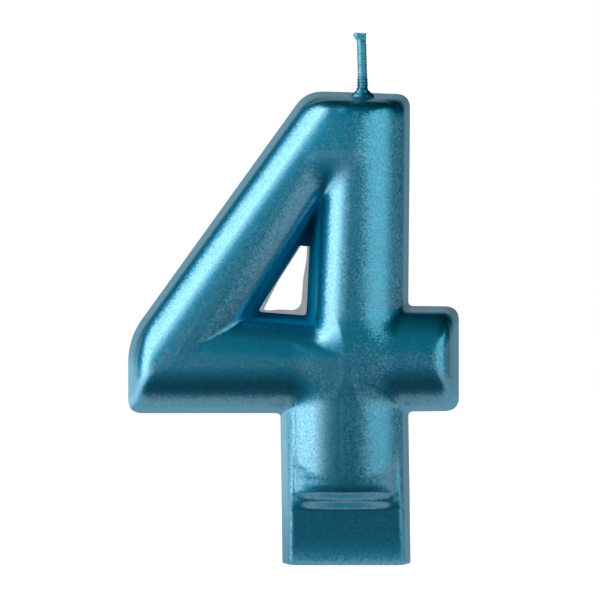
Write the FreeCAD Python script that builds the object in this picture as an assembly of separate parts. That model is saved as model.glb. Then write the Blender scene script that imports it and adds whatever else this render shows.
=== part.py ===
import FreeCAD, Part
import math
import os

from FreeCAD import Vector

# Number "4" birthday candle, standing on its foot. Millimetres, +Z up, the moulded front faces -Y.
# The origin is the centre of the foot's flat underside.
# Plan positions are (x, z) pairs seen from the front; "rise" is the height off the flat back.

# ---- overall sizes ----
BACK_Y = 3.5            # the flat back stands this far behind the origin
CROWN = 12.0            # thickness at the stem's ridge
COAT = 0.25             # metallic lacquer film, drawn thick enough to mesh
DRAFT = math.tan(math.radians(8.2))   # how fast the mould walls lean in
WALL_TOP = 13.0         # the walls are drawn past the crown and trimmed by it
REACH = 120.0           # longer than the candle, for trimming prisms

# ---- outline of the back face: (x, z, corner radius), clockwise from the foot's left corner ----
OUTLINE = (
    (-10.2, 0.0, 0.7),
    (-10.5, 23.6, 0.9),
    (-34.0, 23.6, 2.2),
    (-34.0, 35.1, 2.3),
    (-6.3, 73.55, 3.1),
    (9.95, 73.1, 2.0),
    (9.68, 40.2, 1.0),
    (17.54, 40.2, 1.8),
    (17.54, 23.7, 1.9),
    (9.85, 23.7, 1.0),
    (10.2, 0.0, 0.6),
)

# ---- the see-through counter, on the back face and at shoulder level ----
COUNTER_BACK = ((-5.69, 51.9), (-13.7, 39.3), (-6.3, 38.7))
COUNTER_FRONT = ((-4.37, 55.85), (-16.28, 37.75), (-5.53, 37.75))
COUNTER_FRONT_RISE = 8.4
COUNTER_BACK_RADIUS = 0.5
COUNTER_FRONT_RADIUS = 0.9
FLASH_WIDTH = 0.45      # bare casting flash left standing along the counter's back edge
FLASH_THICK = 0.6

# ---- crown: how far in from its edge each slope meets the ridge ----
WIDE_SHOULDER = (1.7, 8.4)      # (distance in, rise) where a broad slope leaves the shoulder
NARROW_SHOULDER = (1.12, 7.7)   # the same where the slope is short and steep
NARROW_BELOW = 7.0              # slopes shorter than this take the narrow shoulder
BEVEL = math.radians(54.0)      # lean of the shoulder between the wall and the slope
STEM_SLOPE = 9.6
STEM_UPPER_SLOPE = 5.4
BAR_SLOPE = 7.6
DIAGONAL_SLOPE = 6.6
DIAGONAL_INNER_SLOPE = 5.3
END_SLOPE = 5.2
SHARED_EXTRA = 0.7      # where two strokes share an edge, the lesser one's slope is this much longer
BAR_DROP = 0.10         # the bar's and diagonal's ridges sit a little under the stem's
DIAGONAL_DROP = 0.05

# ---- foot: the sunk, slightly leaning face and the two steps above it, (z, rise) ----
FOOT_PROFILE = (
    (0.0, 8.0),
    (8.8, 8.45),
    (9.0, 8.6),
    (9.9, 9.85),
    (10.25, 9.95),
    (10.45, 10.1),
    (11.4, 11.45),
    (12.7, 11.9),
    (14.5, 12.6),
)

# ---- wick ----
WICK_X = 2.45
WICK_RISE = 6.0
WICK_BOTTOM = 48.0      # the plies end here, down inside the stem
WICK_TOP = 81.3         # the plies stop here, under the tip bead
PLY_RADIUS = 0.29
PLY_OFFSET = 0.365      # from the wick's axis to each ply's axis
PLY_PITCH = 4.5
PLY_COUNT = 3
CHANNEL_RADIUS = 0.70
SHEATH_BOTTOM = 75.8    # bare plies show between the collar and the wax sheath
SHEATH_INNER = 0.67
SHEATH_OUTER = 0.74
COLLAR_ROOT = 71.0      # drawn down into the candle, then trimmed to its surface
COLLAR_TOP = 74.3
COLLAR_RADIUS = 1.75
TIP_RINGS = ((81.3, 0.74, 0.0), (81.9, 1.0, -0.28), (82.4, 0.82, -0.12))   # z, radius, shift in x


def place(x, z, rise):
    """Plan position and height off the back, as a point in the candle's frame."""
    return Vector(x, BACK_Y - rise, z)


def line_offset(a, b, distance):
    """The line a-b moved to its right by distance, as a point and a unit direction."""
    dx, dz = b[0] - a[0], b[1] - a[1]
    length = math.hypot(dx, dz)
    dx, dz = dx / length, dz / length
    return (a[0] + dz * distance, a[1] - dx * distance), (dx, dz)


def crossing(first, second):
    """Where two lines, each a point and a direction, meet."""
    (px, pz), (ux, uz) = first
    (qx, qz), (vx, vz) = second
    cross = ux * vz - uz * vx
    along = ((qx - px) * vz - (qz - pz) * vx) / cross
    return px + along * ux, pz + along * uz


def shrink(corners, distance):
    """A clockwise polygon's corners moved in by distance."""
    count = len(corners)
    sides = [line_offset(corners[i], corners[(i + 1) % count], distance) for i in range(count)]
    return [crossing(sides[i - 1], sides[i]) for i in range(count)]


def rounded_wire(corners, radii, rise):
    """A closed wire through the corners, each one rounded by its radius."""
    count = len(corners)
    joints = []
    for i in range(count):
        here, before, after = corners[i], corners[i - 1], corners[(i + 1) % count]
        back = math.atan2(before[1] - here[1], before[0] - here[0])
        ahead = math.atan2(after[1] - here[1], after[0] - here[0])
        half = abs((ahead - back + math.pi) % (2 * math.pi) - math.pi) / 2
        cut = radii[i] / math.tan(half)
        middle = math.atan2(math.sin(back) + math.sin(ahead), math.cos(back) + math.cos(ahead))
        sag = radii[i] / math.sin(half) - radii[i]
        start = place(here[0] + cut * math.cos(back), here[1] + cut * math.sin(back), rise)
        apex = place(here[0] + sag * math.cos(middle), here[1] + sag * math.sin(middle), rise)
        end = place(here[0] + cut * math.cos(ahead), here[1] + cut * math.sin(ahead), rise)
        joints.append((start, apex, end))
    edges = []
    for i in range(count):
        start, apex, end = joints[i]
        edges.append(Part.Arc(start, apex, end).toShape())
        edges.append(Part.LineSegment(end, joints[(i + 1) % count][0]).toShape())
    return Part.Wire(edges)


def drafted_walls(inset):
    """The numeral's outline drawn forward from the back, its walls leaning in with the mould's draft."""
    corners = [(x, z) for x, z, radius in OUTLINE]
    top_inset = inset + DRAFT * (WALL_TOP - inset)
    base = shrink(corners, inset)
    top = shrink(corners, top_inset)
    radii = [radius for x, z, radius in OUTLINE]
    lower = rounded_wire(base, radii, inset)
    upper = rounded_wire(top, [max(radius * 0.6, 0.5) for radius in radii], WALL_TOP)
    walls = Part.makeLoft([lower, upper], True, True)
    # The foot's underside is flat and uncoated, so neither draft nor inset moves it.
    whole = walls.fuse(foot_block(inset, top_inset)).removeSplitter()
    return whole.common(slab(-60.0, 60.0, 0.0, 90.0))


def foot_block(inset, top_inset):
    """Carries the stem's sides down past the underside, where the drafted walls' lower end leans in."""
    height, below = 4.0, -1.0
    left, right = OUTLINE[0], OUTLINE[-1]
    lean_left = (OUTLINE[1][0] - left[0]) / OUTLINE[1][1]
    lean_right = (OUTLINE[-2][0] - right[0]) / OUTLINE[-2][1]

    def quad(distance, rise):
        low_left = left[0] + distance
        low_right = right[0] - distance
        points = [
            place(low_left + lean_left * below, below, rise),
            place(low_left + lean_left * height, height, rise),
            place(low_right + lean_right * height, height, rise),
            place(low_right + lean_right * below, below, rise),
        ]
        return Part.makePolygon(points + points[:1])

    return Part.makeLoft([quad(inset, inset), quad(top_inset, WALL_TOP)], True, True)


def slope_limit(a, b, width, ridge, inset):
    """Everything under one crown slope: a prism along the edge a-b, whose inside is on the right."""
    (px, pz), (ux, uz) = line_offset(a, b, 0.0)
    nx, nz = uz, -ux

    def at(distance, rise):
        return place(px + distance * nx - REACH * ux, pz + distance * nz - REACH * uz, rise)

    start, start_rise = NARROW_SHOULDER if width < NARROW_BELOW else WIDE_SHOULDER
    span = width - start
    fall = ridge - start_rise
    radius = (span * span + fall * fall) / (2 * fall)
    swing = math.atan2(span, radius - fall)
    middle = swing / 2

    def on_arc(angle):
        return at(width - (radius - inset) * math.sin(angle), ridge - radius + (radius - inset) * math.cos(angle))

    low = on_arc(swing)
    # The shoulder's bevel runs down and outward past the wall, which trims it.
    run = 5.0
    bevel_in = start + inset * math.sin(BEVEL)
    bevel_rise = start_rise - inset * math.cos(BEVEL)
    outer_distance = bevel_in - run * math.cos(BEVEL)
    outer = at(outer_distance, bevel_rise - run * math.sin(BEVEL))
    bevel_end = at(bevel_in, bevel_rise)
    top_in = at(REACH, ridge - inset)
    edges = [Part.LineSegment(outer, bevel_end).toShape()]
    if bevel_end.distanceToPoint(low) > 0.06:
        edges.append(Part.LineSegment(bevel_end, low).toShape())
    else:
        low = bevel_end
    edges += [
        Part.Arc(low, on_arc(middle), on_arc(0.0)).toShape(),
        Part.LineSegment(on_arc(0.0), top_in).toShape(),
        Part.LineSegment(top_in, at(REACH, -2.0)).toShape(),
        Part.LineSegment(at(REACH, -2.0), at(outer_distance, -2.0)).toShape(),
        Part.LineSegment(at(outer_distance, -2.0), outer).toShape(),
    ]
    face = Part.Face(Part.Wire(edges))
    return face.extrude(Vector(ux, 0, uz) * (2 * REACH))


def bar(limits, ridge, inset):
    """One pillowed stroke: the space under all of its slopes."""
    shape = None
    for a, b, width in limits:
        prism = slope_limit(a, b, width, ridge, inset)
        shape = prism if shape is None else shape.common(prism)
    return shape


def slab(x0, x1, z0, z1):
    """A plain block over a plan rectangle."""
    return Part.makeBox(x1 - x0, 20.0, z1 - z0, Vector(x0, BACK_Y - 16.0, z0))


def foot_limit(inset):
    """Everything under the foot's sunk face, its two steps and the crown's rounded end."""
    points = [place(-REACH, -1.0, -2.0), place(-REACH, -1.0, FOOT_PROFILE[0][1] - inset)]
    points += [place(-REACH, z + (0.0 if z == 0.0 else inset), rise - inset) for z, rise in FOOT_PROFILE]
    points += [place(-REACH, REACH, 14.0), place(-REACH, REACH, -2.0)]
    face = Part.Face(Part.makePolygon(points + points[:1]))
    return face.extrude(Vector(2 * REACH, 0, 0))


def crown(inset):
    """The pillowed front: stem, bar and diagonal, each under its own slopes, joined."""
    top = (OUTLINE[4][:2], OUTLINE[5][:2], END_SLOPE)
    diagonal_edge = (OUTLINE[3][:2], OUTLINE[4][:2], DIAGONAL_SLOPE)
    left_end = (OUTLINE[2][:2], OUTLINE[3][:2], END_SLOPE)
    under_left = (OUTLINE[1][:2], OUTLINE[2][:2], BAR_SLOPE)
    under_right = (OUTLINE[8][:2], OUTLINE[9][:2], BAR_SLOPE)
    right_end = (OUTLINE[7][:2], OUTLINE[8][:2], END_SLOPE)
    arm_top = (OUTLINE[6][:2], OUTLINE[7][:2], BAR_SLOPE)
    apex, near, far = COUNTER_BACK
    counter_right = (far, apex, STEM_UPPER_SLOPE)
    counter_floor = (near, far, BAR_SLOPE - 0.4)
    counter_left = (apex, near, DIAGONAL_INNER_SLOPE)

    def lesser(limit):
        return limit[0], limit[1], limit[2] + SHARED_EXTRA

    lower_stem = bar(
        [
            (OUTLINE[0][:2], OUTLINE[1][:2], STEM_SLOPE),
            (OUTLINE[9][:2], OUTLINE[10][:2], STEM_SLOPE),
            (near, far, BAR_SLOPE),
        ],
        CROWN,
        inset,
    )
    lower_stem = lower_stem.common(foot_limit(inset)).common(slab(-20, 20, 0, 60))
    upper_stem = bar([counter_right, top, (OUTLINE[5][:2], OUTLINE[6][:2], STEM_SLOPE)], CROWN, inset)
    upper_stem = upper_stem.common(slab(-20, 20, 29, 90))
    bar_ridge = CROWN - BAR_DROP
    left_bar = bar([under_left, left_end, lesser(diagonal_edge), counter_floor], bar_ridge, inset)
    left_bar = left_bar.common(slab(-60, 0.3, 0, 60))
    right_bar = bar([arm_top, right_end, under_right], bar_ridge, inset).common(slab(-1.5, 60, 0, 60))
    diagonal_ridge = CROWN - DIAGONAL_DROP
    limits = [diagonal_edge, counter_left, lesser(top), lesser(left_end), lesser(under_left)]
    diagonal = bar(limits, diagonal_ridge, inset)
    shape = lower_stem
    for piece in (upper_stem, left_bar, right_bar, diagonal):
        shape = shape.fuse(piece)
    return shape


def counter_tool(inset):
    """The drafted triangular core that leaves the counter open, grown by inset for the wax under the coat."""
    growth = WALL_TOP / COUNTER_FRONT_RISE
    far_front = []
    for (bx, bz), (fx, fz) in zip(COUNTER_BACK, COUNTER_FRONT):
        far_front.append((bx + (fx - bx) * growth, bz + (fz - bz) * growth))
    behind = 1.0
    near_back = []
    for (bx, bz), (fx, fz) in zip(COUNTER_BACK, COUNTER_FRONT):
        near_back.append((bx - (fx - bx) * behind / COUNTER_FRONT_RISE, bz - (fz - bz) * behind / COUNTER_FRONT_RISE))
    # The corners run anticlockwise, so a shrink by a positive distance grows the triangle.
    near_back = shrink(near_back, inset)
    far_front = shrink(far_front, inset)
    lower = rounded_wire(near_back, [COUNTER_BACK_RADIUS] * 3, -behind)
    upper = rounded_wire(far_front, [COUNTER_FRONT_RADIUS] * 3, WALL_TOP)
    return Part.makeLoft([lower, upper], True, True)


def numeral(inset):
    """The whole moulded 4, or with an inset the wax that the coat covers."""
    shape = drafted_walls(inset).common(crown(inset))
    shape = shape.cut(counter_tool(inset))
    return shape.removeSplitter()


def counter_flash():
    """The thin web of bare wax that the mould leaves along the counter's floor and right side."""
    # It starts inside the casting, under the coat, so that the two are one solid.
    buried = 1.2
    outer = shrink(COUNTER_BACK, buried)
    apex, near, far = COUNTER_BACK
    left = line_offset(apex, near, buried + 0.5)
    floor = line_offset(near, far, -FLASH_WIDTH)
    right = line_offset(far, apex, -FLASH_WIDTH)
    inner = [crossing(right, left), crossing(left, floor), crossing(floor, right)]

    def prism(corners, radius):
        face = Part.Face(rounded_wire(corners, [radius] * 3, COAT))
        return face.extrude(Vector(0, -FLASH_THICK, 0))

    return prism(outer, 0.5).cut(prism(inner, 0.35))


def wick_cylinder(radius, low, high):
    """An upright cylinder on the wick's axis."""
    return Part.makeCylinder(radius, high - low, place(WICK_X, low, WICK_RISE), Vector(0, 0, 1))


def ply(index):
    """One ply of the wick: a round cord twisted about the wick's axis."""
    height = WICK_TOP - WICK_BOTTOM
    helix = Part.makeLongHelix(PLY_PITCH, height, PLY_OFFSET)
    path = Part.Wire(helix.Edges)
    first = path.Edges[0]
    start = first.valueAt(first.FirstParameter)
    along = first.tangentAt(first.FirstParameter)
    section = Part.Wire([Part.makeCircle(PLY_RADIUS, start, along)])
    cord = path.makePipeShell([section], True, True)
    cord.rotate(Vector(0, 0, 0), Vector(0, 0, 1), 360.0 * index / PLY_COUNT)
    cord.translate(place(WICK_X, WICK_BOTTOM, WICK_RISE))
    trimmed = cord.common(wick_cylinder(1.2, WICK_BOTTOM + 0.4, WICK_TOP))
    return trimmed


def collar(candle):
    """The fillet of wax round the wick's root, trimmed to the top face it sits on."""
    top_inner = SHEATH_INNER + 0.03
    points = [
        Vector(top_inner, 0, COLLAR_ROOT),
        Vector(COLLAR_RADIUS, 0, COLLAR_ROOT),
        Vector(COLLAR_RADIUS, 0, 72.2),
    ]
    crest = Vector(top_inner + 0.12, 0, COLLAR_TOP)
    edges = [Part.LineSegment(points[0], points[1]).toShape()]
    edges.append(Part.LineSegment(points[1], points[2]).toShape())
    edges.append(Part.Arc(points[2], Vector(1.12, 0, 72.95), crest).toShape())
    edges.append(Part.LineSegment(crest, Vector(top_inner, 0, COLLAR_TOP)).toShape())
    edges.append(Part.LineSegment(Vector(top_inner, 0, COLLAR_TOP), points[0]).toShape())
    ring = Part.Face(Part.Wire(edges)).revolve(Vector(0, 0, 0), Vector(0, 0, 1), 360)
    ring.translate(Vector(WICK_X, BACK_Y - WICK_RISE, 0))
    return ring.cut(candle)


def tip_bead():
    """The dipped end of the wick: a lopsided bead that flares to one side."""
    rings = []
    for z, radius, shift in TIP_RINGS:
        circle = Part.makeCircle(radius, place(WICK_X + shift, z, WICK_RISE), Vector(0, 0, 1))
        rings.append(Part.Wire([circle]))
    return Part.makeLoft(rings, True, False)


def build():
    """Every separate piece, by name."""
    outside = numeral(0.0)
    wax = numeral(COAT)
    channel = wick_cylinder(CHANNEL_RADIUS, WICK_BOTTOM, 90.0)
    body = wax.fuse(counter_flash()).removeSplitter().cut(channel)
    coat = outside.cut(wax).cut(counter_flash()).cut(channel)
    pieces = {
        "wax_body": body,
        "metallic_coat": coat,
        "wick_collar": collar(outside),
        "wick_sheath": wick_cylinder(SHEATH_OUTER, SHEATH_BOTTOM, WICK_TOP).cut(
            wick_cylinder(SHEATH_INNER, SHEATH_BOTTOM, WICK_TOP)
        ),
        "wick_tip_bead": tip_bead(),
    }
    for index in range(PLY_COUNT):
        pieces["wick_ply_%d" % (index + 1)] = ply(index)
    return pieces


os.makedirs("parts", exist_ok=True)
for name, shape in build().items():
    shape.exportStep("parts/%s.step" % name)
    print(name, shape.ShapeType, len(shape.Solids), shape.isValid(), round(shape.Volume, 2))
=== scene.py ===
import math

import bpy
import numpy as np
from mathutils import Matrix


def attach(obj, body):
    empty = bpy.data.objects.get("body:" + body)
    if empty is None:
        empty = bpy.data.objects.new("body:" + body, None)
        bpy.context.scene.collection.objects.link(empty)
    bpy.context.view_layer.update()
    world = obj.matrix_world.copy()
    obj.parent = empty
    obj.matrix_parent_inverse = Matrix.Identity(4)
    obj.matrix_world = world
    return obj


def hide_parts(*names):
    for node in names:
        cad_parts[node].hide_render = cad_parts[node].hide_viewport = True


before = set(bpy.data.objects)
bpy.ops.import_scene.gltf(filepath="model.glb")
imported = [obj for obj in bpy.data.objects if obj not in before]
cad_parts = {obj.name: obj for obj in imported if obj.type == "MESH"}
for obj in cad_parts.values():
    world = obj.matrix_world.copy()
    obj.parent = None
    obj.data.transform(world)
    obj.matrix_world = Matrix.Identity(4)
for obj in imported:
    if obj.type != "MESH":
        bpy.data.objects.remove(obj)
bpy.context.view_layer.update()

import openvdb
from mathutils import Vector

# Number "4" birthday candle. The candle's shape is worked out in millimetres and built in metres.
# Plan positions are (x, z) seen from the front; "rise" is the height off the flat back.

MM = 0.001
BACK_Y = 3.5

# ---- outline of the back face: (x, z, corner radius), clockwise from the foot's left corner ----
FOOT_L = (-10.2, 0.0)
WAIST_L = (-10.5, 23.4)
BAR_L = (-34.0, 23.4)
LEFT_TOP = (-34.0, 35.1)
PEAK_L = (-6.3, 73.6)
PEAK_R = (9.95, 73.1)
ARMPIT_R = (9.68, 40.2)
ARM_TOP = (17.54, 40.1)
ARM_LOW = (17.54, 23.75)
WAIST_R = (9.85, 23.65)
FOOT_R = (10.2, 0.0)
COUNTER_APEX = (-5.69, 51.9)
COUNTER_NEAR = (-13.7, 39.3)
COUNTER_FAR = (-6.3, 38.7)

# ---- section of every stroke ----
RIDGE = 12.0
DRAFT = math.radians(7.4)
SHOULDER_SOFT = 0.55
HIP_SOFT = 2.6
VALLEY_SOFT = 2.4
CREASE_SOFT = 0.7
CAP_SOFT = 1.0
WIDE_SHOULDER = (1.65, 8.5)
STEM_SLOPE = 9.5
UPPER_SLOPE_R = 9.0
COUNTER_SLOPE_R = 6.8
BAR_SLOPE = 8.2
BAR_SLOPE_UP = 7.6
END_SLOPE = 4.9
TOP_SLOPE = 4.8
PANEL_RISE = 8.0
PANEL_LEAN = 0.05
BACK_SOFT = 0.35
VOXEL = 0.29
INNER_VOXEL = 0.55
SKIN = 0.25
COAT_LIFT = 0.08
# How far out from the counter's back edges the painted shade on its walls reaches, in millimetres.
COUNTER_SHADE_REACH = 1.75

# ---- wick ----
WICK_RISE = 6.0
WICK_ROOT = 72.5
WICK_END = 82.4
YARN_PITCH = 2.7
YARN_RADIUS = 0.25
YARN_OFFSET = 0.50
WICK_LOW = 72.0

# ---- colours, as linear red, green and blue ----
BODY_TEAL = (0.0, 0.395, 0.635)
FLAKE_PALE = (1.0, 0.97, 0.88)
EDGE_TINT = (0.5, 0.85, 0.95)
# Painted shade for the counter's inner walls, put in place of the lacquer.
PAINTED_SHADE_TEAL = (0.0, 0.25, 0.44)
WICK_TEAL = (0.08, 0.42, 0.56)
ROOT_TEAL = (0.0, 0.22, 0.36)
WICK_FLAKE = (0.8, 0.9, 0.9)
WAX_WHITE = (0.70, 0.77, 0.80)
FILL_TINT = (0.38, 0.95, 1.0)

# ---- flake: cells per metre, and how much they differ from one another ----
FLAKE_CELLS = 5600.0
FLAKE_LEAN = 0.125
FLAKE_SOFTNESS = 0.21
BODY_GRAIN = 0.18
FLAKE_GRAIN = 0.25

# ---- camera and lights, in metres ----
LENS = 450.0
SENSOR = 36.0
VIEW_WIDTH = 0.0929
VIEW_X = -0.00723
VIEW_Z = 0.04105
VIEW_PLANE_Y = -0.002
LIGHT_AIM = (0.0, 0.0, 0.04)
LIGHT_DISTANCE = 0.6


# ------------------------------------------------------------------ shape of the casting


def smooth_min(a, b, soft):
    """The lesser of two fields, rounded where they are within soft of each other."""
    gap = np.maximum(soft - np.abs(a - b), 0.0) / soft
    return np.minimum(a, b) - gap * gap * soft * 0.25


def smooth_max(a, b, soft):
    """The greater of two fields, filled in where they are within soft of each other."""
    return -smooth_min(-a, -b, soft)


def inward(x, z, a, b):
    """Distance to the right of the line from a to b."""
    ux, uz = b[0] - a[0], b[1] - a[1]
    length = math.hypot(ux, uz)
    return ((x - a[0]) * uz - (z - a[1]) * ux) / length


def wall_field(distance, rise):
    """Depth behind one drafted wall."""
    return distance * math.cos(DRAFT) - rise * math.sin(DRAFT)


def slope_field(distance, rise, width, shoulder, ridge):
    """Depth under one crown slope: an arc level at the ridge, run on straight below the shoulder."""
    start, start_rise = shoulder
    span, fall = width - start, ridge - start_rise
    radius = (span * span + fall * fall) / (2.0 * fall)
    swing = min(math.atan2(span, radius - fall), math.radians(72.0))
    across = width - distance
    up = rise - (ridge - radius)
    angle = np.arctan2(across, up)
    on_arc = radius - np.hypot(across, up)
    run_on = radius - across * math.sin(swing) - up * math.cos(swing)
    field = np.where(angle > swing, run_on, on_arc)
    return np.where(across <= 0.0, ridge - rise - 0.15 * across, field)


def below_ridge(rise, soft, reach):
    """A softness that dies away toward the ridge, so that level ridges stay level."""
    return soft * np.clip((RIDGE - rise) / reach, 0.01, 1.0)


def stroke(x, rise, z, edges, ridge, hip):
    """One pillowed stroke: behind all of its walls and under all of its slopes."""
    walls, slopes = None, None
    hip = below_ridge(rise, hip, 3.2)
    for a, b, width, shoulder in edges:
        distance = inward(x, z, a, b)
        wall = wall_field(distance, rise)
        slope = slope_field(distance, rise, width, shoulder, ridge)
        walls = wall if walls is None else smooth_min(walls, wall, 2.2)
        slopes = slope if slopes is None else smooth_min(slopes, slope, hip)
    return smooth_min(walls, slopes, SHOULDER_SOFT)


def crown_height(x):
    """Height of the stem's crown across its width."""
    start, start_rise = WIDE_SHOULDER
    span, fall = STEM_SLOPE - start, RIDGE - start_rise
    radius = (span * span + fall * fall) / (2.0 * fall)
    across = np.minimum(np.abs(x + 0.15), span)
    return RIDGE - radius + np.sqrt(radius * radius - across * across)


def foot_field(x, rise, z):
    """Depth inside the foot: a sunk panel, then two steps up to the rolled-off end of the crown."""
    panel = PANEL_RISE + PANEL_LEAN * np.clip(z, 0.0, 9.0)
    climb = np.interp(
        z,
        [8.8, 9.1, 9.95, 10.25, 10.55, 11.4, 11.8, 12.4, 13.4, 15.0, 18.0],
        [0.0, 0.10, 0.40, 0.43, 0.52, 0.84, 0.88, 0.94, 1.0, 1.2, 3.0],
    )
    front = (panel + (crown_height(x) - panel + 0.25) * climb - rise) * 0.8
    left = wall_field(inward(x, z, FOOT_L, WAIST_L) - 0.15, rise)
    right = wall_field(inward(x, z, WAIST_R, FOOT_R) - 0.15, rise)
    return smooth_min(smooth_min(left, right, 0.1), front, 0.85)


def counter_distance(x, z):
    """Distance outward from the counter's three sides at the back."""
    floor = inward(x, z, COUNTER_NEAR, COUNTER_FAR)
    right = inward(x, z, COUNTER_FAR, COUNTER_APEX)
    left = inward(x, z, COUNTER_APEX, COUNTER_NEAR)
    return floor, right, left


def apex_fill(x, rise, z):
    """The counter's narrow top corner, which the casting closes low down at the back."""
    within = 0.4 - np.maximum.reduce(counter_distance(x, z))
    lip = z - 49.4 - 0.12 * (x + 6.2) ** 2
    return np.minimum(np.minimum(lip, within), 2.5 - rise)


def numeral(x, rise, z):
    """Depth inside the moulded numeral, run on below its foot: positive inside, in millimetres."""
    wide = WIDE_SHOULDER
    bar_shoulder = (1.65, 9.0)
    diagonal_shoulder = (1.65, 9.3)
    end = (1.3, 8.6)
    lower = stroke(
        x, rise, z,
        [
            (FOOT_L, WAIST_L, STEM_SLOPE, wide),
            (WAIST_R, FOOT_R, STEM_SLOPE, wide),
        ],
        RIDGE, HIP_SOFT,
    )
    lower = smooth_min(lower, foot_field(x, rise, z), 0.3)
    # The lower and upper stem hand over inside the crossing, and the bar and arm along its middle.
    lower = np.minimum(lower, (32.5 - z) * 0.8)
    upper = stroke(
        x, rise, z,
        [
            (COUNTER_FAR, COUNTER_APEX, COUNTER_SLOPE_R, (1.5, 8.4)),
            (PEAK_L, PEAK_R, TOP_SLOPE, end),
            (PEAK_R, ARMPIT_R, UPPER_SLOPE_R, wide),
        ],
        RIDGE, HIP_SOFT,
    )
    upper = np.minimum(upper, (z - 29.0) * 0.3)
    left = stroke(
        x, rise, z,
        [
            (WAIST_L, BAR_L, BAR_SLOPE, bar_shoulder),
            (BAR_L, LEFT_TOP, END_SLOPE, end),
            (LEFT_TOP, PEAK_L, 7.4, diagonal_shoulder),
            (COUNTER_NEAR, COUNTER_FAR, BAR_SLOPE_UP, bar_shoulder),
        ],
        RIDGE, HIP_SOFT,
    )
    left = np.minimum(left, 0.2 - x)
    right = stroke(
        x, rise, z,
        [
            (ARMPIT_R, ARM_TOP, BAR_SLOPE, bar_shoulder),
            (ARM_TOP, ARM_LOW, END_SLOPE, end),
            (ARM_LOW, WAIST_R, BAR_SLOPE, bar_shoulder),
        ],
        RIDGE, HIP_SOFT,
    )
    right = np.minimum(right, x + 0.2)
    diagonal = stroke(
        x, rise, z,
        [
            (LEFT_TOP, PEAK_L, 7.0, diagonal_shoulder),
            (PEAK_L, PEAK_R, TOP_SLOPE, end),
            (COUNTER_APEX, COUNTER_NEAR, 6.3, diagonal_shoulder),
            (BAR_L, LEFT_TOP, END_SLOPE, end),
            (WAIST_L, BAR_L, 8.4, bar_shoulder),
        ],
        RIDGE, HIP_SOFT,
    )
    valley = np.clip(VALLEY_SOFT - (RIDGE - rise) * 0.55, CREASE_SOFT, VALLEY_SOFT)
    joined = smooth_max(lower, upper, 0.15)
    joined = smooth_max(joined, right, valley)
    # Strokes that share a slope meet without softening, or the shared slope would swell.
    near_counter = np.clip((x + 21.0) / 6.0, 0.06, 1.0)
    slanted = smooth_max(left, diagonal, valley * near_counter)
    under_top = np.clip((72.0 - z) / 8.0, 0.06, 1.0)
    # Above the counter the two strokes run together, so their valley fills in as it rises.
    filling = np.interp(z, (53.0, 63.0), (1.0, 2.1))
    joined = smooth_max(joined, slanted, valley * filling * under_top)
    joined = np.maximum(joined, apex_fill(x, rise, z))
    joined = smooth_min(joined, RIDGE + 0.1 - rise, CAP_SOFT)
    return smooth_min(joined, rise, BACK_SOFT)


def casting(x, rise, z):
    """The numeral as lacquered, down to a hair above the foot's bare underside."""
    return smooth_min(numeral(x, rise, z), z - COAT_LIFT, BACK_SOFT)


def field_gradient(field, points):
    """Central differences of a field at points (x, rise, z)."""
    step = 0.02
    x, rise, z = points.T
    return np.stack(
        [
            field(x + step, rise, z) - field(x - step, rise, z),
            field(x, rise + step, z) - field(x, rise - step, z),
            field(x, rise, z + step) - field(x, rise, z - step),
        ],
        axis=1,
    ) / (2.0 * step)


def shell_from_field(name, field, low, high, voxel):
    """A closed quad mesh on the field's zero surface, in the candle's frame."""
    axes = [np.arange(lo - 2 * voxel, hi + 3 * voxel, voxel) for lo, hi in zip(low, high)]
    x, rise, z = np.meshgrid(*axes, indexing="ij")
    values = np.clip(-field(x, rise, z), -3 * voxel, 3 * voxel).astype(np.float32)
    grid = openvdb.FloatGrid(background=float(3 * voxel))
    grid.copyFromArray(values)
    points, quads = grid.convertToQuads(isovalue=0.0)
    points = points.astype(float) * voxel + np.array([axis[0] for axis in axes])
    for _ in range(4):
        slope = field_gradient(field, points)
        value = field(*points.T)
        size = np.maximum((slope * slope).sum(1), 0.05)
        move = -(value / size)[:, None] * slope
        points += np.clip(move, -0.4 * voxel, 0.4 * voxel)
    corners = np.stack([points[:, 0], BACK_Y - points[:, 1], points[:, 2]], axis=1) * MM
    mesh = bpy.data.meshes.new(name)
    mesh.from_pydata(corners.tolist(), [], quads.tolist())
    mesh.validate()
    mesh.update()
    if mesh_volume(mesh) < 0.0:
        mesh.flip_normals()
    mesh.polygons.foreach_set("use_smooth", np.ones(len(mesh.polygons), dtype=bool))
    thing = bpy.data.objects.new(name, mesh)
    bpy.context.scene.collection.objects.link(thing)
    return thing


def mesh_volume(mesh):
    """Signed volume, negative when the faces point inward."""
    co = np.zeros(len(mesh.vertices) * 3)
    mesh.vertices.foreach_get("co", co)
    co = co.reshape(-1, 3)
    mesh.calc_loop_triangles()
    tri = np.zeros(len(mesh.loop_triangles) * 3, dtype=np.int32)
    mesh.loop_triangles.foreach_get("vertices", tri)
    a, b, c = (co[tri.reshape(-1, 3)[:, i]] for i in range(3))
    return float((a * np.cross(b, c)).sum() / 6.0)


def mark_counter_shade(thing):
    """A number at each point: 1 on the counter's steep walls, where painted shade stands in for the shade
    inside the counter, 0 elsewhere.
    """
    mesh = thing.data
    points = np.zeros(len(mesh.vertices) * 3)
    mesh.vertices.foreach_get("co", points)
    points = points.reshape(-1, 3) / MM
    away = np.maximum.reduce(counter_distance(points[:, 0], points[:, 2]))
    rise = BACK_Y - points[:, 1]
    share = np.clip((COUNTER_SHADE_REACH - away) / 0.5, 0.0, 1.0) * np.clip((rise - 0.3) / 0.3, 0.0, 1.0)
    mark = mesh.attributes.new("counter_shade", "FLOAT", "POINT")
    mark.data.foreach_set("value", share.astype(np.float32))


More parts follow.
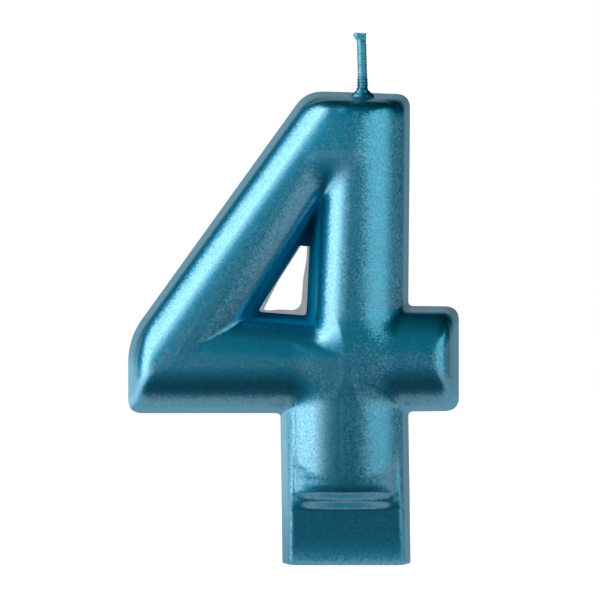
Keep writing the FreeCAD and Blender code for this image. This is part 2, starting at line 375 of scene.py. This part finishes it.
def build_casting():
    """The lacquered outside, and the bare wax just inside it."""
    low, high = (-34.0, 0.0, 0.0), (17.6, 12.0, 73.5)
    coat = shell_from_field("lacquer_coat", casting, low, high, VOXEL)
    # The counter's walls are marked for painted shade.
    mark_counter_shade(coat)

    def wax_field(x, rise, z):
        inside = np.minimum(numeral(x, rise, z), numeral(x, rise, z + SKIN))
        return np.minimum(inside - 1.4 * SKIN, z)

    wax = shell_from_field("wax_casting", wax_field, low, high, INNER_VOXEL)
    return coat, wax


def flash_field(x, rise, z):
    """Depth inside the thin bare web left round the counter's back edge, widest at its lower right."""
    floor, right, left = counter_distance(x, z)
    along_floor = floor + 0.25 + 0.45 * np.clip((x + 13.0) / 5.0, 0.0, 1.0) + 0.05 * np.sin(x * 1.7)
    along_right = right + 0.30 + 0.50 * np.clip((48.5 - z) / 6.0, 0.0, 1.0) + 0.05 * np.sin(z * 1.3)
    along_left = left + 0.10 + 0.40 * np.clip((44.0 - z) / 4.0, 0.0, 1.0)
    web = smooth_max(along_floor, along_right, 1.6)
    web = smooth_max(web, along_left, 0.5)
    hidden = 0.3 - np.maximum(np.maximum(floor, right), left)
    web = np.minimum(web, hidden)
    return smooth_min(np.minimum(web, rise - 0.12), 0.8 - rise, 0.15)


def build_flash():
    """The flash as its own mesh, on a finer grid than the casting."""
    low, high = (-14.5, 0.1, 38.0), (-5.0, 0.8, 53.0)
    return shell_from_field("counter_flash", flash_field, low, high, 0.14)


# ------------------------------------------------------------------ shape of the wick


def mesh_object(name, vertices, faces):
    """A smooth-shaded object from vertices in metres, with its faces turned outward."""
    mesh = bpy.data.meshes.new(name)
    mesh.from_pydata([tuple(v) for v in vertices], [], faces)
    mesh.validate()
    mesh.update()
    if mesh_volume(mesh) < 0.0:
        mesh.flip_normals()
    mesh.polygons.foreach_set("use_smooth", np.ones(len(mesh.polygons), dtype=bool))
    thing = bpy.data.objects.new(name, mesh)
    bpy.context.scene.collection.objects.link(thing)
    return thing


def in_frame(x, rise, z):
    """A place given in millimetres and height off the back, as metres in the part's frame."""
    return x * MM, (BACK_Y - rise) * MM, z * MM


def wick_axis(z):
    """Where the wick's middle is at height z: it leans a little to the left as it rises."""
    share = (z - WICK_ROOT) / (WICK_END - WICK_ROOT)
    return 2.43 - 0.12 * share + 0.04 * math.sin(share * 5.0), WICK_RISE - 0.15 * share


def stacked_rings(name, rings, sides, close=True):
    """A tube through rings, each a function of the angle giving (x, rise, z)."""
    vertices = [in_frame(*ring(2 * math.pi * i / sides)) for ring in rings for i in range(sides)]
    faces = []
    for k in range(len(rings) - 1):
        for i in range(sides):
            j = (i + 1) % sides
            faces.append((k * sides + i, k * sides + j, (k + 1) * sides + j, (k + 1) * sides + i))
    if close:
        faces.append(tuple(range(sides)))
        faces.append(tuple((len(rings) - 1) * sides + i for i in range(sides)))
    return mesh_object(name, vertices, faces)


def yarn_pair(name, index):
    """Two opposite yarns of one ply, twisted round the wick's middle."""
    vertices, faces = [], []
    sides, steps = 12, 150
    for half in range(2):
        base = len(vertices)
        for k in range(steps + 1):
            z = WICK_LOW + (80.6 - WICK_LOW) * k / steps
            cx, crise = wick_axis(z)
            turn = 2 * math.pi * (z / YARN_PITCH + (index + 3 * half) / 6.0)
            # The plies lie looser below the stiffened part.
            spread = 0.10 * max(0.0, min(1.0, (75.9 - z) / 1.2))
            for i in range(sides):
                a = 2 * math.pi * i / sides
                reach = YARN_OFFSET + spread + YARN_RADIUS * math.cos(a)
                swing = (YARN_RADIUS + 0.3 * spread) * math.sin(a)
                x = cx + reach * math.cos(turn) - 0.88 * swing * math.sin(turn)
                rise = crise + reach * math.sin(turn) + 0.88 * swing * math.cos(turn)
                vertices.append(in_frame(x, rise, z + 0.5 * swing))
        for k in range(steps):
            for i in range(sides):
                j = (i + 1) % sides
                row, above = base + k * sides, base + (k + 1) * sides
                faces.append((row + i, row + j, above + j, above + i))
        faces.append(tuple(base + i for i in range(sides)))
        faces.append(tuple(base + steps * sides + i for i in range(sides)))
    return mesh_object(name, vertices, faces)


def sheath():
    """The paint-stiffened upper part: nearly smooth, with the twist just showing through."""
    rings = []
    steps = 120
    for k in range(steps + 1):
        z = WICK_LOW + (81.3 - WICK_LOW) * k / steps
        cx, crise = wick_axis(z)
        # Below the stiffened part this is only the core that the yarns are wound on.
        grow = min(1.0, max(0.0, (z - 75.1) / 0.6))
        radius = 0.50 + 0.20 * grow
        ripple = 0.012 + 0.03 * max(0.0, 1.0 - max(0.0, z - 75.3) / 1.4)
        lump = 0.03 * math.sin(z * 2.3) + 0.02 * math.sin(z * 5.1 + 1.0)

        def ring(a, z=z, cx=cx, crise=crise, radius=radius, ripple=ripple, lump=lump):
            wave = ripple * math.cos(6.0 * (a - 2 * math.pi * z / YARN_PITCH))
            r = radius + wave + lump * math.cos(a - 0.7 * z)
            return cx + r * math.cos(a), crise + r * math.sin(a), z

        rings.append(ring)
    return stacked_rings("wick_stiff_part", rings, 48)


def tip():
    """The snipped end: flared to the left, with a sharp right shoulder and a sunken face."""
    heights = (81.0, 81.25, 81.5, 81.75, 82.0, 82.2, 82.34, 82.38)
    flare = (0.0, 0.10, 0.28, 0.48, 0.56, 0.50, 0.36, 0.24)
    rings = []
    for z, out in zip(heights, flare):
        cx, crise = wick_axis(z)

        def ring(a, z=z, out=out, cx=cx, crise=crise):
            left = max(0.0, -math.cos(a)) ** 2
            front = 0.06 * math.sin(3 * a + z)
            r = 0.70 + out * left + 0.04 * max(0.0, math.cos(a)) * (z > 82.1) + front * (z > 81.4)
            lift = -0.05 * math.cos(a - 0.5) if z > 82.3 else 0.0
            return cx + r * math.cos(a), crise + r * math.sin(a), z + lift

        rings.append(ring)

    def sunk(a):
        cx, crise = wick_axis(82.3)
        return cx - 0.08 + 0.38 * math.cos(a), crise + 0.38 * math.sin(a), 82.26 + 0.03 * math.sin(4 * a)

    rings.append(sunk)
    return stacked_rings("wick_snipped_end", rings, 40)


def collar():
    """Lacquer and wax drawn up round the wick's root."""
    profile = (
        (71.6, 2.4), (72.3, 2.15), (72.7, 1.95), (73.0, 1.7),
        (73.2, 1.38), (73.4, 1.15), (73.6, 0.99), (73.8, 0.87), (73.95, 0.75),
    )
    rings = []
    for z, radius in profile:
        cx, crise = wick_axis(z)

        # The lower part is flatter, so that it stays back from the top face's front edge.
        depth = 0.6 if z < 73.3 else 0.85

        def ring(a, z=z, radius=0.9 * radius, cx=cx - 0.06, crise=crise, depth=depth):
            # More wax is drawn up on the right than on the left.
            side = 1.0 + 0.05 * math.cos(a) * (radius > 0.8)
            twist = 0.09 * math.cos(6.0 * (a - 2 * math.pi * z / YARN_PITCH)) * (z > 72.8)
            r = radius * side + twist
            return cx + r * math.cos(a), crise + depth * r * math.sin(a), z

        rings.append(ring)
    return stacked_rings("wick_root_fillet", rings, 64)


# ------------------------------------------------------------------ materials


def new_material(name):
    """A material with its nodes, links and Principled shader."""
    material = bpy.data.materials.new(name)
    material.use_nodes = True
    nodes, links = material.node_tree.nodes, material.node_tree.links
    shader = next(n for n in nodes if n.type == "BSDF_PRINCIPLED")
    return material, nodes, links, shader


def ramp(nodes, links, source, start, end, low, high):
    """A value that runs smoothly from low to high as the source runs from start to end."""
    node = nodes.new("ShaderNodeMapRange")
    node.interpolation_type = "SMOOTHSTEP"
    for name, value in (("From Min", start), ("From Max", end), ("To Min", low), ("To Max", high)):
        node.inputs[name].default_value = value
    links.new(source, node.inputs["Value"])
    return node.outputs["Result"]


def flake_cells(nodes, links, scale):
    """A random colour for each tiny cell, one cell to a cluster of flake."""
    coords = nodes.new("ShaderNodeTexCoord")
    cells = nodes.new("ShaderNodeTexVoronoi")
    cells.inputs["Scale"].default_value = scale
    links.new(coords.outputs["Object"], cells.inputs["Vector"])
    return cells.outputs["Color"]


def flake_normal(nodes, links, cells, lean):
    """A normal tilted at random from one cell to the next, as loose flake lies in lacquer."""
    tilt = nodes.new("ShaderNodeVectorMath")
    tilt.operation = "SUBTRACT"
    tilt.inputs[1].default_value = (0.5, 0.5, 0.5)
    links.new(cells, tilt.inputs[0])
    size = nodes.new("ShaderNodeVectorMath")
    size.operation = "SCALE"
    size.inputs["Scale"].default_value = lean
    links.new(tilt.outputs[0], size.inputs[0])
    geometry = nodes.new("ShaderNodeNewGeometry")
    leaned = nodes.new("ShaderNodeVectorMath")
    leaned.operation = "ADD"
    links.new(geometry.outputs["Normal"], leaned.inputs[0])
    links.new(size.outputs[0], leaned.inputs[1])
    unit = nodes.new("ShaderNodeVectorMath")
    unit.operation = "NORMALIZE"
    links.new(leaned.outputs[0], unit.inputs[0])
    return unit.outputs[0]


def grain(nodes, links, cells, colour, spread):
    """The colour made lighter or darker at random from one cell to the next."""
    split = nodes.new("ShaderNodeSeparateColor")
    links.new(cells, split.inputs[0])
    level = ramp(nodes, links, split.outputs[0], 0.0, 1.0, 1.0 - spread, 1.0 + spread)
    tint = nodes.new("ShaderNodeVectorMath")
    tint.operation = "SCALE"
    tint.inputs[0].default_value = colour
    links.new(level, tint.inputs["Scale"])
    return tint.outputs[0]


def painted_shade_lacquer(nodes, links, shader, mark):
    """Painted shade: a dark, matt teal without flake in place of the lacquer wherever the mesh carries the
    mark, for the shade inside the counter.
    """
    bare = nodes.new("ShaderNodeBsdfPrincipled")
    bare.inputs["Base Color"].default_value = (*PAINTED_SHADE_TEAL, 1.0)
    bare.inputs["Roughness"].default_value = 0.9
    bare.inputs["Specular IOR Level"].default_value = 0.0
    where = nodes.new("ShaderNodeAttribute")
    where.attribute_name = mark
    mix = nodes.new("ShaderNodeMixShader")
    links.new(where.outputs["Fac"], mix.inputs["Fac"])
    links.new(shader, mix.inputs[1])
    links.new(bare.outputs[0], mix.inputs[2])
    return mix.outputs[0]


def metallic_lacquer(name, body, sheen, share, softness, shade_at=None):
    """Metallic lacquer: a deep tinted layer, and paler flake near the surface that mirrors more sharply."""
    material, nodes, links, deep = new_material(name)
    cells = flake_cells(nodes, links, FLAKE_CELLS)
    links.new(grain(nodes, links, cells, body, BODY_GRAIN), deep.inputs["Base Color"])
    deep.inputs["Metallic"].default_value = 1.0
    deep.inputs["Roughness"].default_value = softness
    deep.inputs["Specular Tint"].default_value = (*EDGE_TINT, 1.0)
    flake = nodes.new("ShaderNodeBsdfPrincipled")
    links.new(grain(nodes, links, cells, sheen, FLAKE_GRAIN), flake.inputs["Base Color"])
    flake.inputs["Metallic"].default_value = 1.0
    flake.inputs["Roughness"].default_value = FLAKE_SOFTNESS
    links.new(flake_normal(nodes, links, cells, FLAKE_LEAN), flake.inputs["Normal"])
    mix = nodes.new("ShaderNodeMixShader")
    mix.inputs["Fac"].default_value = share
    links.new(deep.outputs[0], mix.inputs[1])
    links.new(flake.outputs[0], mix.inputs[2])
    surface = mix.outputs[0]
    # Painted shade replaces the lacquer wherever the named mark lies.
    if shade_at:
        surface = painted_shade_lacquer(nodes, links, surface, shade_at)
    out = next(n for n in nodes if n.type == "OUTPUT_MATERIAL")
    links.new(surface, out.inputs["Surface"])
    return material


def bare_wax(name="bare_wax", alpha=1.0):
    """Unpainted paraffin; a thin web of it lets light through."""
    material, nodes, links, shader = new_material(name)
    coords = nodes.new("ShaderNodeTexCoord")
    mottle = nodes.new("ShaderNodeTexNoise")
    mottle.inputs["Scale"].default_value = 900.0
    links.new(coords.outputs["Object"], mottle.inputs["Vector"])
    level = ramp(nodes, links, mottle.outputs["Fac"], 0.3, 0.7, 0.9, 1.05)
    tint = nodes.new("ShaderNodeVectorMath")
    tint.operation = "SCALE"
    tint.inputs[0].default_value = WAX_WHITE
    links.new(level, tint.inputs["Scale"])
    links.new(tint.outputs[0], shader.inputs["Base Color"])
    shader.inputs["Roughness"].default_value = 0.45
    shader.inputs["Alpha"].default_value = alpha
    return material


# ------------------------------------------------------------------ stage, lights, camera


def table_glow(nodes, links):
    """What the candle sees of the floor: bright close by and to the two sides, dark in front."""
    coords = nodes.new("ShaderNodeTexCoord")
    split = nodes.new("ShaderNodeSeparateXYZ")
    links.new(coords.outputs["Object"], split.inputs[0])
    total = ramp(nodes, links, split.outputs["Y"], -0.014, -0.009, 0.02, 0.55)
    sides = ((-0.05, -0.09, 1.3), (0.03, 0.07, 0.55))
    for start, end, strength in sides:
        more = nodes.new("ShaderNodeMath")
        more.operation = "MAXIMUM"
        links.new(total, more.inputs[0])
        links.new(ramp(nodes, links, split.outputs["X"], start, end, 0.0, strength), more.inputs[1])
        total = more.outputs[0]
    lit = nodes.new("ShaderNodeEmission")
    links.new(total, lit.inputs["Strength"])
    return lit.outputs[0]


def build_stage():
    """A pale floor that the camera sees as nearly white."""
    mesh = bpy.data.meshes.new("floor")
    half = 3.0
    corners = [(-half, -half, 0), (half, -half, 0), (half, half, 0), (-half, half, 0)]
    mesh.from_pydata(corners, [], [(0, 1, 2, 3)])
    floor = bpy.data.objects.new("floor", mesh)
    bpy.context.scene.collection.objects.link(floor)
    material, nodes, links, shader = new_material("pale_floor")
    shader.inputs["Base Color"].default_value = (0.5, 0.5, 0.5, 1.0)
    shader.inputs["Roughness"].default_value = 1.0
    shader.inputs["Specular IOR Level"].default_value = 0.0
    glow = nodes.new("ShaderNodeEmission")
    glow.inputs["Strength"].default_value = 1.0
    seen = nodes.new("ShaderNodeAddShader")
    path = nodes.new("ShaderNodeLightPath")
    mix = nodes.new("ShaderNodeMixShader")
    out = next(n for n in nodes if n.type == "OUTPUT_MATERIAL")
    links.new(shader.outputs[0], seen.inputs[0])
    links.new(glow.outputs[0], seen.inputs[1])
    links.new(path.outputs["Is Camera Ray"], mix.inputs["Fac"])
    links.new(table_glow(nodes, links), mix.inputs[1])
    links.new(seen.outputs[0], mix.inputs[2])
    links.new(mix.outputs[0], out.inputs["Surface"])
    mesh.materials.append(material)


def build_world():
    """White to the camera; for everything else dim in front and pale behind."""
    world = bpy.data.worlds.new("studio")
    bpy.context.scene.world = world
    world.use_nodes = True
    nodes, links = world.node_tree.nodes, world.node_tree.links
    nodes.clear()
    out = nodes.new("ShaderNodeOutputWorld")
    mix = nodes.new("ShaderNodeMixShader")
    path = nodes.new("ShaderNodeLightPath")
    seen = nodes.new("ShaderNodeBackground")
    seen.inputs["Color"].default_value = (1.0, 1.0, 1.0, 1.0)
    room = nodes.new("ShaderNodeBackground")
    coords = nodes.new("ShaderNodeTexCoord")
    split = nodes.new("ShaderNodeSeparateXYZ")
    links.new(coords.outputs["Generated"], split.inputs[0])
    back = nodes.new("ShaderNodeMapRange")
    back.inputs["From Min"].default_value = 0.62
    back.inputs["From Max"].default_value = 0.96
    back.inputs["To Min"].default_value = 0.0
    side = nodes.new("ShaderNodeMapRange")
    side.inputs["From Min"].default_value = -0.3
    side.inputs["From Max"].default_value = 0.3
    side.inputs["To Min"].default_value = 0.95
    side.inputs["To Max"].default_value = 0.55
    links.new(split.outputs["X"], side.inputs["Value"])
    links.new(side.outputs["Result"], back.inputs["To Max"])
    links.new(split.outputs["Y"], back.inputs["Value"])
    links.new(back.outputs["Result"], room.inputs["Strength"])
    links.new(path.outputs["Is Camera Ray"], mix.inputs["Fac"])
    links.new(room.outputs[0], mix.inputs[1])
    links.new(seen.outputs[0], mix.inputs[2])
    links.new(mix.outputs[0], out.inputs["Surface"])


def softbox(name, azimuth, elevation, width, height, radiance, colour=(1.0, 1.0, 1.0)):
    """A rectangular light aimed at the candle. Azimuth 0 is the camera's side, positive to the left."""
    data = bpy.data.lights.new(name, "AREA")
    data.shape = "RECTANGLE"
    data.size, data.size_y = width, height
    data.color = colour
    data.energy = radiance * width * height * math.pi
    lamp = bpy.data.objects.new(name, data)
    a, e = math.radians(azimuth), math.radians(elevation)
    back = Vector((-math.sin(a) * math.cos(e), -math.cos(a) * math.cos(e), math.sin(e)))
    lamp.location = Vector(LIGHT_AIM) + back * LIGHT_DISTANCE
    lamp.rotation_mode = "QUATERNION"
    lamp.rotation_quaternion = back.to_track_quat("Z", "Y")
    lamp.visible_camera = False
    bpy.context.scene.collection.objects.link(lamp)
    return lamp


def build_camera():
    """A long lens straight in front, level with the candle's middle."""
    data = bpy.data.cameras.new("camera")
    data.sensor_width = SENSOR
    data.lens = LENS
    camera = bpy.data.objects.new("camera", data)
    distance = VIEW_WIDTH * LENS / SENSOR
    camera.location = (VIEW_X, VIEW_PLANE_Y - distance, VIEW_Z)
    camera.rotation_euler = (math.radians(90.0), 0.0, 0.0)
    data.clip_start, data.clip_end = 0.01, 50.0
    bpy.context.scene.collection.objects.link(camera)
    bpy.context.scene.camera = camera
    bpy.context.scene.view_settings.view_transform = "Standard"


def give(thing, material, slot, *nodes):
    """Put a material on a piece, and say what it rides on and what it stands for; the slot is not used."""
    thing.data.materials.append(material)
    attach(thing, "root")
    if nodes:
        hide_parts(*nodes)


coat, wax = build_casting()
# The counter's walls get painted shade, a dark teal, through the mark on them.
lacquer = metallic_lacquer("metallic_lacquer", BODY_TEAL, FLAKE_PALE, 0.18, 0.45, "counter_shade")
give(coat, lacquer, "metallic_lacquer", "metallic_coat")
give(wax, bare_wax(), "white_wax", "wax_body")
wick_paint = metallic_lacquer("wick_paint", WICK_TEAL, WICK_FLAKE, 0.10, 0.66)
give(build_flash(), bare_wax("thin_wax", 0.5), "white_wax", "wax_body")
for i in range(3):
    give(yarn_pair("wick_yarns_%d" % (i + 1), i), wick_paint, "cotton", "wick_ply_%d" % (i + 1))
give(sheath(), wick_paint, "wick_wax", "wick_sheath")
give(tip(), wick_paint, "wick_wax", "wick_tip_bead")
root_paint = metallic_lacquer("root_paint", ROOT_TEAL, WICK_FLAKE, 0.08, 0.5)
give(collar(), root_paint, "collar_wax", "wick_collar")
build_stage()
build_world()
softbox("key_left", 64.0, 16.0, 0.52, 1.1, 2.3)
softbox("key_left_edge", 34.0, 16.0, 0.22, 1.1, 1.25)
softbox("fill_right", -45.0, 0.0, 0.62, 0.7, 1.1, FILL_TINT)
build_camera()
